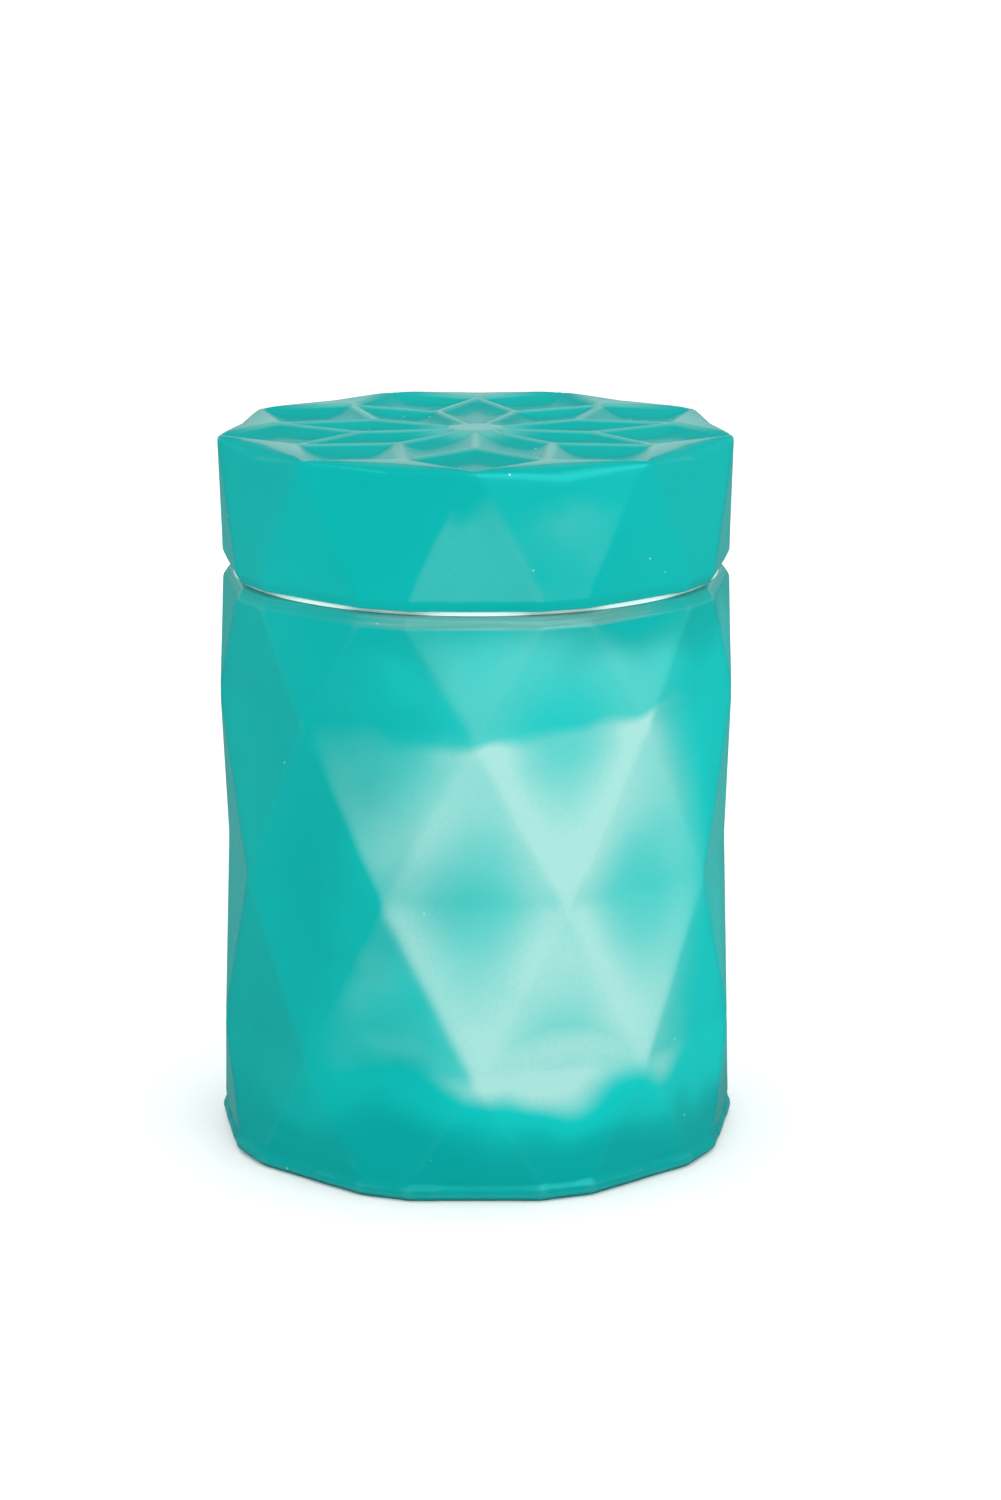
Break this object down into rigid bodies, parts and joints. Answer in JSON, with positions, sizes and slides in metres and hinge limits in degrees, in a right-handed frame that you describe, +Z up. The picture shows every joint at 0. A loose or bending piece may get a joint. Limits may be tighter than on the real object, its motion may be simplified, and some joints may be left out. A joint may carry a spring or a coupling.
{
  "type": "jar lantern",
  "caption": "Lidded jar lantern of teal pressed glass with diamond-folded sides, a lift-off star-cut lid on a clear seal, poured wax and wicks on steel tabs.",
  "frame": {"origin": "centre of the base, on the surface the jar stands on", "axes": "+Z up along the jar's axis, -Y towards the front corner of the lid, +X to the right seen from the front"},
  "size_m": [0.1038, 0.1025, 0.1412],
  "materials": {
    "jar_glass": "satin translucent milk glass",
    "lid_glass": "satin translucent milk glass",
    "clear_silicone": "clear, slightly milky",
    "candle_wax": "soft waxy",
    "cotton_wick": "braided, waxed",
    "tab_steel": "bright stamped",
    "foam_sticker": "matte foam",
    "label_paper": "matte"
  },
  "bodies": {
    "jar": {"jar": "jar_glass", "wax_fill": "candle_wax", "base_label": "label_paper", "wick_1": "cotton_wick", "wick_tab_1": "tab_steel", "tab_sticker_1": "foam_sticker", "wick_2": "cotton_wick", "wick_tab_2": "tab_steel", "tab_sticker_2": "foam_sticker", "wick_3": "cotton_wick", "wick_tab_3": "tab_steel", "tab_sticker_3": "foam_sticker"},
    "seal": {"lid_seal": "clear_silicone"},
    "lid": {"lid": "lid_glass"}
  },
  "joints": [
    {"name": "lid_lift", "type": "slide", "parent": "jar", "child": "seal", "axis": [0, 0, 1], "range_m": [0, 0.06]},
    {"name": "lid_turn", "type": "hinge", "parent": "seal", "child": "lid", "pos_m": [0, 0, 0.11435], "axis": [0, 0, 1], "continuous": true}
  ]
}
